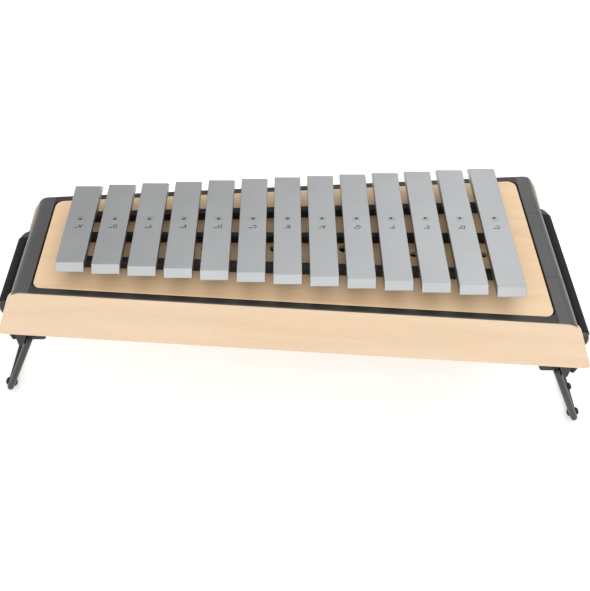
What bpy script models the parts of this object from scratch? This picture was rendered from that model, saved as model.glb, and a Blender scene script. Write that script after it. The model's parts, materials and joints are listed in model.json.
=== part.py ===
"""Thirteen-bar metallophone: tuned bars over a tapered resonator case with handles and folding legs.

Metres, +Z up. The ground is at z 0, the case is centred on x 0 and y 0, the bass end is at +X, and
the audience side, with the front panel, is at -Y. Every tapered edge follows one straight plan line.
"""

import math

import bmesh
import bpy
from mathutils import Matrix, Vector

# Play between pieces that touch
GAP = 0.0003

# Tone bars: plain-bevelled aluminium, a diatonic run from C upwards
BAR_COUNT = 13
BAR_WIDTH = 0.030
BAR_PITCH = 0.03824
BAR_THICKNESS = 0.008
BAR_LENGTH_TREBLE = 0.1372
BAR_LENGTH_BASS = 0.2048
BAR_END_LAND = 0.001
BAR_EDGE_BREAK = 0.0004
BAR_FREE_HEIGHT = 0.022
BAR_FIELD_SHIFT = -0.002
ARCH_MARGIN = 0.010
ARCH_STEPS = 14

# Tuning: where a free bar stands still, its lowest note, and sound in aluminium
NODE_SHARE = 0.224
LOWEST_NOTE_HZ = 523.25
SCALE_STEPS = (0, 2, 4, 5, 7, 9, 11)
NOTE_NAMES = "cdefgab"
BAR_MODE_FACTOR = 1.028
ALUMINIUM_SOUND_SPEED = 5050.0

# Rails under the bars
RAIL_WIDTH = 0.0085
RAIL_HEIGHT = 0.0105
SADDLE_LENGTH = 0.020
SADDLE_SLOPE = 0.002
PEG_RADIUS = 0.0015
PEG_TIP_RADIUS = 0.0011
PEG_HEIGHT = 0.0035
PEG_PLAY = 0.0004
CENTRE_STRIP_WIDTH = 0.0075
CENTRE_STRIP_Y = 0.003

# Case: long panels taper in plan and flare outwards at their ends
PANEL_HALF_DEPTH = 0.09754
TAPER = 0.072
PANEL_THICKNESS = 0.006
PANEL_HEIGHT = 0.0722
PANEL_HALF_LENGTH = 0.3318
PANEL_FLARE = math.radians(23.5)
PANEL_TOP_RADIUS = 0.022
PANEL_FOOT_RADIUS = 0.004
PANEL_EDGE_BREAK = 0.0008

# Soundboard and the plastic frame that holds it
BOARD_HALF_LENGTH = 0.2763
BOARD_THICKNESS = 0.005
BOARD_INSET = 0.0077
BOARD_CORNER = 0.010
BOARD_EDGE_BREAK = 0.0006
HOLE_COUNT = 7
HOLE_PITCH = 0.0775
HOLE_FIRST_X = -0.2487
HOLE_RADIUS = 0.0055
HOLE_Y = -0.0097
BASS_HOLES = 2
BASS_HOLE_RADIUS = 0.00425
BASS_HOLE_Y = -0.0184
TRIM_THICKNESS = 0.002
LEDGE_WIDTH = 0.008
LEDGE_THICKNESS = 0.003
GROOVE_WIDTH = 0.002

# End caps: thin mouldings that roll over the case's ends
CAP_HALF_LENGTH = 0.302
CAP_ROLL = 0.015
CAP_WALL = 0.0025
CAP_SKIRT_DEPTH = 0.028
BASS_SEAM_Y = 0.0515

# Inner boards
END_BOARD_OUTER_X = 0.286
END_BOARD_THICKNESS = 0.008
BOTTOM_THICKNESS = 0.005
BOTTOM_HALF_LENGTH = 0.3275
EAR_DEPTH = 0.027
NOTCH_RADIUS = 0.008
DIVIDER_COUNT = 3
DIVIDER_THICKNESS = 0.005

# Carrying handles: bent tube with a sleeve
HANDLE_AXIS_X = 0.322
HANDLE_DROP = 0.048
HANDLE_TUBE_RADIUS = 0.006
HANDLE_BEND = 0.010
HANDLE_PANEL_PLAY = 0.0005
GRIP_RADIUS = 0.007
GRIP_END_PLAY = 0.0005
BOLT_RADIUS = 0.003
BOLT_HEAD_RADIUS = 0.005
BOLT_HEAD_HEIGHT = 0.004
BOLT_REACH = 0.018

# Folding legs: bent rod on hinge blocks
LEG_PIVOT_X = 0.298
LEG_REACH = 0.1141
LEG_SPLAY = math.radians(25.5)
LEG_ROD_RADIUS = 0.004
LEG_BEND = 0.008
LEG_INSET = 0.007
PIVOT_DROP = 0.0105
RING_RADIUS = 0.007
RING_WIDTH = 0.006
RING_EDGE = 0.0014
RING_SETBACK = 0.0115
RING_SPACING = 0.037

# Hinge blocks and their pins
BLOCK_INBOARD = 0.0165
BLOCK_OUTBOARD = 0.0145
BLOCK_BELOW_PIVOT = 0.0100
BLOCK_LUG_EXTRA = 0.0012
BLOCK_FLANGE = 0.003
BLOCK_CHEEK = 0.008
BLOCK_CORNER = 0.005
PIN_RADIUS = 0.0018
PIN_HEAD_RADIUS = 0.0034
PIN_HEAD_HEIGHT = 0.0010

# Cone feet for use on a table with the legs folded
CONE_X = 0.320
CONE_SETBACK = 0.013
CONE_HEIGHT = 0.0217
CONE_TOP_RADIUS = 0.006
CONE_TIP_RADIUS = 0.003
CONE_EDGE = 0.001

# Facets of round shapes
ROD_SIDES = 16
SMALL_SIDES = 12
HOLE_SIDES = 20
ARC_STEP = math.radians(11.0)

# Heights that follow from the sizes above
PIVOT_Z = RING_RADIUS + LEG_REACH * math.cos(LEG_SPLAY)
CASE_Z = PIVOT_Z + PIVOT_DROP
DECK = PANEL_HEIGHT + GAP + TRIM_THICKNESS
LEDGE_TOP = DECK - BOARD_THICKNESS - GAP
LEDGE_BOTTOM = LEDGE_TOP - LEDGE_THICKNESS
HANDLE_HEIGHT = DECK - HANDLE_DROP
CAP_INNER_X = BOARD_HALF_LENGTH + GROOVE_WIDTH


def outer_face(x):
    """Half the case's depth at x, measured to the outer faces of the long panels."""
    return PANEL_HALF_DEPTH + TAPER * x


def inner_face(x):
    """Half the room between the long panels at x."""
    return outer_face(x) - PANEL_THICKNESS


def plan_line(sign, inset):
    """A plan line that runs with the panels, as y for a given x: sign -1 is the audience side."""
    return lambda x: sign * (outer_face(x) - inset)


def level_line(y):
    """A plan line at one y."""
    return lambda x: y


def arc(centre, radius, start, end):
    """Points on an arc from angle start to angle end, both included."""
    steps = max(2, math.ceil(abs(end - start) / ARC_STEP))
    angles = [start + (end - start) * k / steps for k in range(steps + 1)]
    return [(centre[0] + radius * math.cos(a), centre[1] + radius * math.sin(a)) for a in angles]


def rounded(corners):
    """A closed outline from corners (a, b, radius), each turned into an arc where its radius isn't 0."""
    points = []
    for index, (a, b, radius) in enumerate(corners):
        here = Vector((a, b))
        if not radius:
            points.append((a, b))
            continue
        back = (Vector(corners[index - 1][:2]) - here).normalized()
        ahead = (Vector(corners[(index + 1) % len(corners)][:2]) - here).normalized()
        half = back.angle(ahead) / 2
        centre = here + (back + ahead).normalized() * (radius / math.sin(half))
        start = here + back * (radius / math.tan(half)) - centre
        end = here + ahead * (radius / math.tan(half)) - centre
        first = math.atan2(start.y, start.x)
        turn = math.atan2(start.cross(end), start.dot(end))
        points.extend(arc(centre, radius, first, first + turn))
    return points


def prism(outline, place_near, place_far):
    """A closed mesh between two copies of an outline, each point placed in 3-D by a function."""
    mesh = bmesh.new()
    near = [mesh.verts.new(place_near(a, b)) for a, b in outline]
    far = [mesh.verts.new(place_far(a, b)) for a, b in outline]
    mesh.faces.new(near)
    mesh.faces.new(far)
    for k in range(len(outline)):
        following = (k + 1) % len(outline)
        mesh.faces.new((near[k], near[following], far[following], far[k]))
    bmesh.ops.recalc_face_normals(mesh, faces=mesh.faces)
    return mesh


def slab(outline, near, far):
    """A solid whose outline stands in x and z, between two plan lines."""
    return prism(outline, lambda x, z: (x, near(x), z), lambda x, z: (x, far(x), z))


def plate(outline, bottom, top):
    """A solid whose outline lies in x and y, between two heights."""
    return prism(outline, lambda x, y: (x, y, bottom), lambda x, y: (x, y, top))


def rib(outline, left, right):
    """A solid whose outline stands in y and z, between two x positions."""
    return prism(outline, lambda y, z: (left, y, z), lambda y, z: (right, y, z))


def turned(profile, sides, phase=0.0):
    """A solid turned about local z from (radius, height) points; without a point on the axis it has a bore."""
    mesh = bmesh.new()
    rows = []
    for radius, height in profile:
        if radius == 0:
            rows.append([mesh.verts.new((0, 0, height))] * sides)
            continue
        angles = [phase + math.tau * k / sides for k in range(sides)]
        rows.append([mesh.verts.new((radius * math.cos(a), radius * math.sin(a), height)) for a in angles])
    pairs = list(zip(rows, rows[1:]))
    if profile[0][0] and profile[-1][0]:
        pairs.append((rows[-1], rows[0]))
    for low, high in pairs:
        for k in range(sides):
            following = (k + 1) % sides
            corners = (low[k], low[following], high[following], high[k])
            mesh.faces.new(list(dict.fromkeys(corners)))
    bmesh.ops.recalc_face_normals(mesh, faces=mesh.faces)
    return mesh


def rod(path, normal, radius, sides, domed):
    """A round rod along a flat path, whose ends are domed about the path's last points or cut square."""
    mesh = bmesh.new()
    normal = Vector(normal)
    points = [Vector(p) for p in path]
    last = len(points) - 1
    rows = []
    for k, point in enumerate(points):
        along = (points[min(k + 1, last)] - points[max(k - 1, 0)]).normalized()
        across = along.cross(normal)
        steps = [(0.0, 1.0)]
        if domed and k in (0, last):
            ending = 1 if k else -1
            steps = [(ending * math.sin(a), math.cos(a)) for a in (0, math.pi / 6, math.pi / 3)]
            steps = steps if k else steps[::-1]
        for shift, share in steps:
            angles = [math.tau * (n + 0.5) / sides for n in range(sides)]
            ring = [normal * math.cos(a) + across * math.sin(a) for a in angles]
            centre = point + along * radius * shift
            rows.append([mesh.verts.new(centre + spoke * radius * share) for spoke in ring])
    for low, high in zip(rows, rows[1:]):
        for k in range(sides):
            following = (k + 1) % sides
            mesh.faces.new((low[k], low[following], high[following], high[k]))
    for row, point, toward in ((rows[0], points[0], points[1]), (rows[-1], points[-1], points[-2])):
        if domed:
            tip = mesh.verts.new(point + (point - toward).normalized() * radius)
            for k in range(sides):
                mesh.faces.new((row[k], row[(k + 1) % sides], tip))
        else:
            mesh.faces.new(row)
    bmesh.ops.recalc_face_normals(mesh, faces=mesh.faces)
    return mesh


def together(meshes):
    """Several closed shapes in one mesh, for use as one cutter."""
    joined = bmesh.new()
    for mesh in meshes:
        data = bpy.data.meshes.new("shape")
        mesh.to_mesh(data)
        mesh.free()
        joined.from_mesh(data)
        bpy.data.meshes.remove(data)
    return joined


def moved(mesh, x=0.0, y=0.0, z=0.0):
    """The mesh shifted in its own frame."""
    bmesh.ops.translate(mesh, verts=mesh.verts, vec=(x, y, z))
    return mesh


def turned_to(mesh, axis, degrees):
    """The mesh turned about one of its own axes."""
    matrix = Matrix.Rotation(math.radians(degrees), 3, axis)
    bmesh.ops.rotate(mesh, verts=mesh.verts, matrix=matrix, cent=(0, 0, 0))
    return mesh


def make_material(name, colour, roughness, metallic=0.0):
    """A Principled material from a linear colour."""
    material = bpy.data.materials.new(name)
    material.use_nodes = True
    shader = material.node_tree.nodes["Principled BSDF"]
    shader.inputs["Base Color"].default_value = (*colour, 1.0)
    shader.inputs["Roughness"].default_value = roughness
    shader.inputs["Metallic"].default_value = metallic
    return material


def make_empty(name, place):
    """An empty that carries a group of pieces."""
    empty = bpy.data.objects.new(name, None)
    empty.location = place
    bpy.context.collection.objects.link(empty)
    return empty


def make_piece(name, mesh, material, parent, place=(0, 0, 0), turn=(0, 0, 0), smooth=False):
    """One named piece, placed under its parent."""
    data = bpy.data.meshes.new(name)
    mesh.to_mesh(data)
    mesh.free()
    data.materials.append(material)
    if smooth:
        data.shade_smooth()
        data.set_sharp_from_angle(angle=math.radians(40))
    piece = bpy.data.objects.new(name, data)
    piece.parent = parent
    piece.location = place
    piece.rotation_euler = turn
    bpy.context.collection.objects.link(piece)
    return piece


def apply_shape(piece, name, mesh, operation):
    """Cuts a shape from a piece, or joins it on, with a Boolean whose hidden operand rides with the piece."""
    data = bpy.data.meshes.new(name)
    mesh.to_mesh(data)
    mesh.free()
    cutter = bpy.data.objects.new(name, data)
    cutter.parent = piece
    cutter.hide_render = True
    cutter.display_type = "WIRE"
    bpy.context.collection.objects.link(cutter)
    modifier = piece.modifiers.new(name, "BOOLEAN")
    modifier.object = cutter
    modifier.operation = operation


def break_edges(piece, width):
    """A small chamfer on every sharp edge."""
    modifier = piece.modifiers.new("edge_break", "BEVEL")
    modifier.width = width
    modifier.segments = 1
    modifier.limit_method = "ANGLE"
    modifier.angle_limit = math.radians(30)


def bar_place(index):
    """The x of a bar's centre: bar 0 is the lowest note, at the bass end."""
    return BAR_FIELD_SHIFT + ((BAR_COUNT - 1) / 2 - index) * BAR_PITCH


def bar_length(index):
    """A bar's length along its underside."""
    share = index / (BAR_COUNT - 1)
    return BAR_LENGTH_BASS + (BAR_LENGTH_TREBLE - BAR_LENGTH_BASS) * share


def bar_bevel():
    """How far the end bevels run, at 45 degrees down to the land at the bottom."""
    return BAR_THICKNESS - BAR_END_LAND


def bar_node(index):
    """How far from its centre a bar stands still when it sounds, and so is carried."""
    return (bar_length(index) - bar_bevel()) * (0.5 - NODE_SHARE)


def bar_frequency(index):
    """The pitch of a bar in the diatonic scale."""
    octave, step = divmod(index, len(SCALE_STEPS))
    return LOWEST_NOTE_HZ * 2 ** (octave + SCALE_STEPS[step] / 12)


def bar_arch_height(index):
    """How much is milled from the middle of the underside to bring a plain bar down to its pitch."""
    sounding = bar_length(index) - bar_bevel()
    plain = BAR_MODE_FACTOR * ALUMINIUM_SOUND_SPEED * BAR_THICKNESS / sounding**2
    return BAR_THICKNESS * max(0.0, 1 - bar_frequency(index) / plain)


def bar_name(index):
    """A bar's name: its number from the bass and its note."""
    return f"tone_bar_{index + 1:02d}_{NOTE_NAMES[index % len(NOTE_NAMES)]}"


def rail_line(x):
    """The distance of the rails from the middle at x, through the standing points of the bars."""
    slope = (bar_node(0) - bar_node(BAR_COUNT - 1)) / (bar_place(0) - bar_place(BAR_COUNT - 1))
    return bar_node(0) + slope * (x - bar_place(0))


def build_bar(index, material, deck):
    """A tone bar: bevelled ends, tuned arch under the middle and two blind holes over the rail pegs."""
    half = bar_length(index) / 2
    span = bar_node(index) - ARCH_MARGIN
    rise = bar_arch_height(index)
    outline = [
        (half, 0.0),
        (half, BAR_END_LAND),
        (half - bar_bevel(), BAR_THICKNESS),
        (bar_bevel() - half, BAR_THICKNESS),
        (-half, BAR_END_LAND),
        (-half, 0.0),
    ]
    for k in range(ARCH_STEPS + 1):
        y = -span + 2 * span * k / ARCH_STEPS
        outline.append((y, rise * math.cos(math.pi * y / (2 * span)) ** 2))
    mesh = rib(outline, -BAR_WIDTH / 2, BAR_WIDTH / 2)
    place = (bar_place(index), 0, BAR_FREE_HEIGHT)
    bar = make_piece(bar_name(index), mesh, material, deck, place)
    break_edges(bar, BAR_EDGE_BREAK)
    depth = PEG_HEIGHT + PEG_PLAY
    wide = PEG_RADIUS + PEG_PLAY
    profile = [(0, -depth), (wide, -depth), (wide, depth), (0, depth)]
    holes = [
        moved(turned(profile, SMALL_SIDES), y=side * bar_node(index)) for side in (-1, 1)
    ]
    apply_shape(bar, f"{bar.name}_holes", together(holes), "DIFFERENCE")


def build_rail(name, side, material, deck):
    """A bar rail: it runs through the standing points, with a saddle and a peg under each bar."""
    end = BAR_WIDTH / 2 - SADDLE_SLOPE
    saddle_top = BAR_FREE_HEIGHT - GAP
    outline = [(bar_place(0) + end, GAP), (bar_place(0) + end, RAIL_HEIGHT)]
    for index in range(BAR_COUNT):
        middle = bar_place(index)
        outline.append((middle + SADDLE_LENGTH / 2, RAIL_HEIGHT))
        outline.append((middle + SADDLE_LENGTH / 2 - SADDLE_SLOPE, saddle_top))
        outline.append((middle - SADDLE_LENGTH / 2 + SADDLE_SLOPE, saddle_top))
        outline.append((middle - SADDLE_LENGTH / 2, RAIL_HEIGHT))
    outline.append((bar_place(BAR_COUNT - 1) - end, RAIL_HEIGHT))
    outline.append((bar_place(BAR_COUNT - 1) - end, GAP))
    half = RAIL_WIDTH / 2
    mesh = slab(outline, lambda x: side * rail_line(x) - half, lambda x: side * rail_line(x) + half)
    rail = make_piece(name, mesh, material, deck)
    break_edges(rail, BAR_EDGE_BREAK)
    foot = saddle_top - PEG_HEIGHT
    tip = saddle_top + PEG_HEIGHT
    profile = [(0, foot), (PEG_RADIUS, foot), (PEG_RADIUS, saddle_top), (PEG_TIP_RADIUS, tip), (0, tip)]
    pegs = [
        moved(turned(profile, SMALL_SIDES), x=bar_place(index), y=side * bar_node(index))
        for index in range(BAR_COUNT)
    ]
    apply_shape(rail, f"{name}_pegs", together(pegs), "UNION")


def build_centre_strip(material, deck):
    """The level strip between the rails."""
    end = BAR_WIDTH / 2 - SADDLE_SLOPE
    half = CENTRE_STRIP_WIDTH / 2
    crown = CENTRE_STRIP_WIDTH / 4
    left = bar_place(BAR_COUNT - 1) - end
    right = bar_place(0) + end
    outline = rounded([
        (CENTRE_STRIP_Y - half, GAP, 0),
        (CENTRE_STRIP_Y + half, GAP, 0),
        (CENTRE_STRIP_Y + half, RAIL_HEIGHT, crown),
        (CENTRE_STRIP_Y - half, RAIL_HEIGHT, crown),
    ])
    make_piece("centre_strip", rib(outline, left, right), material, deck)


def plan_outline(half_length, inset, radius=0.0):
    """A plan outline that runs with the panels, inset from their outer faces."""
    corners = []
    for end, side in ((1, 1), (-1, 1), (-1, -1), (1, -1)):
        x = end * half_length
        corners.append((x, side * (outer_face(x) - inset), radius))
    return rounded(corners)


def panel_outline(grow=0.0):
    """The front of a long panel in x and z, grown all round by an even amount."""
    shift = grow * (1 / math.cos(PANEL_FLARE) + math.tan(PANEL_FLARE))
    low = PANEL_HALF_LENGTH + shift
    high = PANEL_HALF_LENGTH - PANEL_HEIGHT * math.tan(PANEL_FLARE)
    high += grow * (1 / math.cos(PANEL_FLARE) - math.tan(PANEL_FLARE))
    top = PANEL_HEIGHT + grow
    return rounded([
        (low, -grow, PANEL_FOOT_RADIUS + grow),
        (high, top, PANEL_TOP_RADIUS + grow),
        (-high, top, PANEL_TOP_RADIUS + grow),
        (-low, -grow, PANEL_FOOT_RADIUS + grow),
    ])


def build_panel(name, side, material, case):
    """A long panel with rolled top corners and flared ends."""
    mesh = slab(panel_outline(), plan_line(side, 0.0), plan_line(side, PANEL_THICKNESS))
    panel = make_piece(name, mesh, material, case)
    break_edges(panel, PANEL_EDGE_BREAK)


def build_soundboard(material, deck):
    """The soundboard with its row of sound holes."""
    outline = plan_outline(BOARD_HALF_LENGTH, BOARD_INSET, BOARD_CORNER)
    board = make_piece("soundboard", plate(outline, -BOARD_THICKNESS, 0.0), material, deck)
    break_edges(board, BOARD_EDGE_BREAK)
    holes = []
    for k in range(HOLE_COUNT):
        bass = k >= HOLE_COUNT - BASS_HOLES
        radius = BASS_HOLE_RADIUS if bass else HOLE_RADIUS
        depth = BOARD_THICKNESS * 2
        hole = turned([(0, -depth), (radius, -depth), (radius, depth), (0, depth)], HOLE_SIDES)
        y = BASS_HOLE_Y if bass else HOLE_Y
        holes.append(moved(hole, x=HOLE_FIRST_X + k * HOLE_PITCH, y=y))
    apply_shape(board, "sound_holes", together(holes), "DIFFERENCE")


def build_top_frame(material, case):
    """The frame round the soundboard: a ledge under it, and a trim strip over each long panel."""
    seat = PANEL_THICKNESS + GAP
    length = CAP_INNER_X - GAP
    ledge = plate(plan_outline(END_BOARD_OUTER_X, seat), LEDGE_BOTTOM, LEDGE_TOP)
    frame = make_piece("top_frame", ledge, material, case)
    middle = (LEDGE_BOTTOM + LEDGE_TOP) / 2
    wall = plate(plan_outline(length, seat), middle, DECK - TRIM_THICKNESS / 2)
    apply_shape(frame, "frame_wall", wall, "UNION")
    strip = plate(plan_outline(length, 0.0), DECK - TRIM_THICKNESS, DECK)
    apply_shape(frame, "trim_strip", strip, "UNION")
    recess = plan_outline(CAP_INNER_X, BOARD_INSET - GAP, BOARD_CORNER)
    apply_shape(frame, "board_recess", plate(recess, LEDGE_TOP, DECK * 2), "DIFFERENCE")
    opening = plan_outline(BOARD_HALF_LENGTH - LEDGE_WIDTH, BOARD_INSET + LEDGE_WIDTH, BOARD_CORNER)
    apply_shape(frame, "case_opening", plate(opening, 0.0, DECK * 2), "DIFFERENCE")


def cap_shell_outline(end, shrink):
    """An end cap's rolled section in x and z, shrunk by the wall for the room inside it."""
    inner = end * (CAP_INNER_X + shrink)
    outer = CAP_HALF_LENGTH - CAP_ROLL
    reach = CAP_ROLL - shrink
    roll = [(end * x, z) for x, z in arc((outer, DECK - CAP_ROLL), reach, math.pi / 2, 0.0)]
    skirt = DECK - CAP_SKIRT_DEPTH
    if shrink:
        foot = skirt - shrink
        return [(inner, foot), (inner, DECK - shrink)] + roll + [(end * (outer + reach), foot)]
    foot_inner = end * (CAP_HALF_LENGTH - CAP_WALL)
    lip_inner = end * (CAP_INNER_X + CAP_WALL)
    foot = [(end * CAP_HALF_LENGTH, skirt), (foot_inner, skirt)]
    lip = [(lip_inner, LEDGE_TOP + GAP), (inner, LEDGE_TOP + GAP)]
    return [(inner, DECK)] + roll + foot + lip


def build_cap(name, end, near, far, material, case):
    """An end cap: a thin rolled moulding that stands on the frame's ledge and lies over the panels' edges."""
    cap = make_piece(name, slab(cap_shell_outline(end, 0.0), near, far), material, case)
    room = slab(cap_shell_outline(end, CAP_WALL), plan_line(-1, PANEL_THICKNESS / 2),
                plan_line(1, PANEL_THICKNESS / 2))
    apply_shape(cap, f"{name}_room", room, "DIFFERENCE")
    for side, reaches in ((-1, near), (1, far)):
        if abs(reaches(0.0)) < inner_face(0.0):
            continue
        clearance = slab(panel_outline(GAP), plan_line(side, PANEL_THICKNESS + GAP), plan_line(side, -CAP_ROLL))
        apply_shape(cap, f"{name}_panel_{'front' if side < 0 else 'rear'}", clearance, "DIFFERENCE")


def build_end_board(name, end, material, case):
    """An end board: it closes the case under the frame and carries a handle on two bolts."""
    near = end * END_BOARD_OUTER_X
    far = end * (END_BOARD_OUTER_X - END_BOARD_THICKNESS)
    low = BOTTOM_THICKNESS + GAP
    high = LEDGE_BOTTOM - GAP
    outline = [(near, low), (near, high), (far, high), (far, low)]
    inset = PANEL_THICKNESS + GAP
    board = make_piece(name, slab(outline, plan_line(-1, inset), plan_line(1, inset)), material, case)
    wide = BOLT_RADIUS + GAP
    reach = END_BOARD_OUTER_X
    profile = [(0, -reach), (wide, -reach), (wide, reach), (0, reach)]
    holes = []
    for side in (-1, 1):
        hole = turned_to(turned(profile, SMALL_SIDES), "Y", 90)
        holes.append(moved(hole, y=side * handle_limb_y(end), z=HANDLE_HEIGHT))
    apply_shape(board, f"{name}_bolt_holes", together(holes), "DIFFERENCE")


def build_bottom_board(material, case):
    """The bottom board: its corner ears carry the legs, and the notches between them leave room for a hand."""
    inset = PANEL_THICKNESS + GAP
    corners = []
    for end, sides in ((1, (-1, 1)), (-1, (1, -1))):
        tip = end * BOTTOM_HALF_LENGTH
        root = end * END_BOARD_OUTER_X
        for side in sides:
            edge = (tip, side * (outer_face(tip) - inset), 0)
            notch = side * notch_half_width(end)
            step = [edge, (tip, notch, NOTCH_RADIUS), (root, notch, NOTCH_RADIUS)]
            corners.extend(step if side == sides[0] else step[::-1])
    make_piece("bottom_board", plate(rounded(corners), 0.0, BOTTOM_THICKNESS), material, case)


def notch_half_width(end):
    """Half the width of the hand notch at one end of the bottom board."""
    return inner_face(end * LEG_PIVOT_X) - EAR_DEPTH


def build_divider(number, material, case):
    """A chamber divider between two sound holes, notched round the frame's ledges."""
    middle = HOLE_FIRST_X + (2 * number + 1.5) * HOLE_PITCH
    narrow = middle - DIVIDER_THICKNESS / 2
    wide = inner_face(narrow) - GAP
    ledge = outer_face(narrow) - BOARD_INSET - LEDGE_WIDTH - GAP
    low = BOTTOM_THICKNESS + GAP
    step = LEDGE_BOTTOM - GAP
    high = DECK - BOARD_THICKNESS - GAP
    outline = [(-wide, low), (wide, low), (wide, step), (ledge, step), (ledge, high)]
    outline += [(-ledge, high), (-ledge, step), (-wide, step)]
    mesh = rib(outline, narrow, narrow + DIVIDER_THICKNESS)
    make_piece(f"chamber_divider_{number + 1}", mesh, material, case)


def handle_limb_y(end):
    """How far from the middle a handle's limbs run, just inside the panels."""
    outermost = end * (HANDLE_AXIS_X + HANDLE_TUBE_RADIUS)
    room = min(inner_face(end * END_BOARD_OUTER_X), inner_face(outermost))
    return room - HANDLE_PANEL_PLAY - HANDLE_TUBE_RADIUS


def bent_path(half_width, start, reach, bend):
    """A flat U in (along, across): out from start, round two bends, and back."""
    points = [(start, -half_width)]
    points += arc((reach - bend, bend - half_width), bend, -math.pi / 2, 0.0)
    points += arc((reach - bend, half_width - bend), bend, 0.0, math.pi / 2)
    points.append((start, half_width))
    return points


def build_handle(label, end, metal, rubber, steel, case):
    """A carrying handle: a bent tube bolted to the end board, with a grip sleeve."""
    limb = handle_limb_y(end)
    start = END_BOARD_OUTER_X + GAP
    flat = bent_path(limb, start, HANDLE_AXIS_X, HANDLE_BEND)
    path = [(end * x, y, 0.0) for x, y in flat]
    mesh = rod(path, (0, 0, 1), HANDLE_TUBE_RADIUS, ROD_SIDES, domed=False)
    tube = make_piece(f"handle_tube_{label}", mesh, metal, case, (0, 0, HANDLE_HEIGHT), smooth=True)
    wide = BOLT_RADIUS + GAP
    reach = start + BOLT_REACH + GAP
    profile = [(0, -reach), (wide, -reach), (wide, reach), (0, reach)]
    bores = [
        moved(turned_to(turned(profile, SMALL_SIDES), "Y", 90), y=side * limb) for side in (-1, 1)
    ]
    apply_shape(tube, f"{tube.name}_bores", together(bores), "DIFFERENCE")
    half = limb - HANDLE_BEND - GRIP_END_PLAY
    bore = (HANDLE_TUBE_RADIUS + GAP) / math.cos(math.pi / ROD_SIDES)
    edge = GRIP_RADIUS - HANDLE_TUBE_RADIUS - GAP
    profile = [(bore, -half), (GRIP_RADIUS - edge / 2, -half), (GRIP_RADIUS, edge - half)]
    profile += [(radius, -height) for radius, height in profile[::-1]]
    place = (end * HANDLE_AXIS_X, 0, HANDLE_HEIGHT)
    sleeve = turned(profile, ROD_SIDES, math.pi / ROD_SIDES)
    make_piece(f"handle_grip_{label}", sleeve, rubber, case, place, (math.pi / 2, 0, 0), smooth=True)
    under_head = END_BOARD_OUTER_X - END_BOARD_THICKNESS - GAP
    shank = start + BOLT_REACH - under_head
    profile = [(0, -BOLT_HEAD_HEIGHT), (BOLT_HEAD_RADIUS, -BOLT_HEAD_HEIGHT), (BOLT_HEAD_RADIUS, 0)]
    profile += [(BOLT_RADIUS, 0), (BOLT_RADIUS, shank), (0, shank)]
    for side, where in ((-1, "front"), (1, "rear")):
        place = (end * under_head, side * limb, HANDLE_HEIGHT)
        bolt = turned(profile, SMALL_SIDES)
        turn = (0, end * math.pi / 2, 0)
        make_piece(f"handle_bolt_{label}_{where}", bolt, steel, case, place, turn, smooth=True)


def leg_limb_y(end):
    """How far from the middle a leg's limbs stand, close under the panels."""
    return outer_face(end * LEG_PIVOT_X) - LEG_INSET


def build_leg(label, end, ring_places, metal, rubber, pivot):
    """A folding leg: a bent rod that turns on the hinge axis, with rubber rings on its crossbar."""
    half = leg_limb_y(end)
    path = [(0.0, y, -z) for z, y in bent_path(half, 0.0, LEG_REACH, LEG_BEND)]
    mesh = rod(path, (1, 0, 0), LEG_ROD_RADIUS, ROD_SIDES, domed=True)
    turn = (0, -end * LEG_SPLAY, 0)
    leg = make_piece(f"leg_frame_{label}", mesh, metal, pivot, turn=turn, smooth=True)
    wide = PIN_RADIUS + GAP
    long = half + LEG_ROD_RADIUS * 2
    profile = [(0, -long), (wide, -long), (wide, long), (0, long)]
    bore = turned_to(turned(profile, SMALL_SIDES), "X", 90)
    apply_shape(leg, f"{leg.name}_bore", bore, "DIFFERENCE")
    flats = 1 / math.cos(math.pi / ROD_SIDES)
    bore_radius = (LEG_ROD_RADIUS + GAP) * flats
    outer = RING_RADIUS * flats
    profile = [
        (bore_radius, -RING_WIDTH / 2),
        (outer - RING_EDGE, -RING_WIDTH / 2),
        (outer, RING_EDGE - RING_WIDTH / 2),
        (outer, RING_WIDTH / 2 - RING_EDGE),
        (outer - RING_EDGE, RING_WIDTH / 2),
        (bore_radius, RING_WIDTH / 2),
    ]
    crossbar = Matrix.Rotation(-end * LEG_SPLAY, 3, "Y") @ Vector((0, 0, -LEG_REACH))
    for number, (side, setback) in enumerate(ring_places):
        place = crossbar + Vector((0, side * (half - setback), 0))
        ring = turned(profile, ROD_SIDES, math.pi / ROD_SIDES)
        name = f"foot_ring_{label}_{number + 1}"
        make_piece(name, ring, rubber, pivot, place, (math.pi / 2, 0, 0), smooth=True)


def block_outline(end, lug_only):
    """A hinge block's section in x and z about the pivot, or the section of its stop lug."""
    top = PIVOT_DROP - GAP
    low = -BLOCK_BELOW_PIVOT
    if not lug_only:
        corners = [
            (-BLOCK_INBOARD, top, 0),
            (BLOCK_OUTBOARD, top, 0),
            (BLOCK_OUTBOARD, low, BLOCK_CORNER),
            (-BLOCK_INBOARD, low, BLOCK_CORNER),
        ]
        return rounded([(end * x, z, radius) for x, z, radius in corners])
    low -= BLOCK_LUG_EXTRA
    under = top - BLOCK_FLANGE
    clear = (LEG_ROD_RADIUS + GAP) / math.cos(LEG_SPLAY)
    corners = [
        (-BLOCK_INBOARD, top, 0),
        (BLOCK_OUTBOARD, top, 0),
        (BLOCK_OUTBOARD, low, BLOCK_CORNER / 2),
        (clear - low * math.tan(LEG_SPLAY), low, BLOCK_CORNER / 5),
        (clear - under * math.tan(LEG_SPLAY), under, 0),
        (-BLOCK_INBOARD, under, 0),
    ]
    return rounded([(end * x, z, radius) for x, z, radius in corners])


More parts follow.
